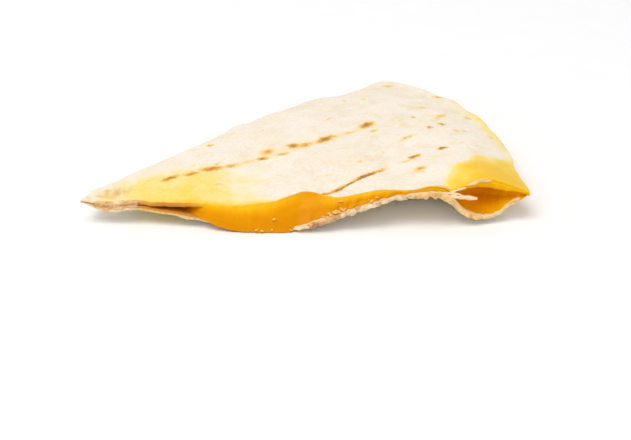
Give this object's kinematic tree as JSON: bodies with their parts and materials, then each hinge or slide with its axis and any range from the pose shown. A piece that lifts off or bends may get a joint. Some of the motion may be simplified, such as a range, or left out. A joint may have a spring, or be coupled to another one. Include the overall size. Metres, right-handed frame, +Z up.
{
  "type": "quesadilla wedge",
  "caption": "Wedge of toasted flour tortilla folded in half over melted cheese, which bulges from the cut side.",
  "frame": {"origin": "on the surface that the wedge rests on, under the middle of its bounding box", "axes": "+X along the cut edge from the tip to the rim, +Y from the cut edge towards the fold, +Z up"},
  "size_m": [0.1267, 0.1007, 0.013],
  "materials": {
    "tortilla": "soft toasted flour tortilla, pale cream with brown grill marks",
    "cheese": "melted yellow-orange cheese with a soft oily gloss"
  },
  "bodies": {
    "root": {"tortilla": "tortilla", "cheese": "cheese"}
  },
  "joints": []
}
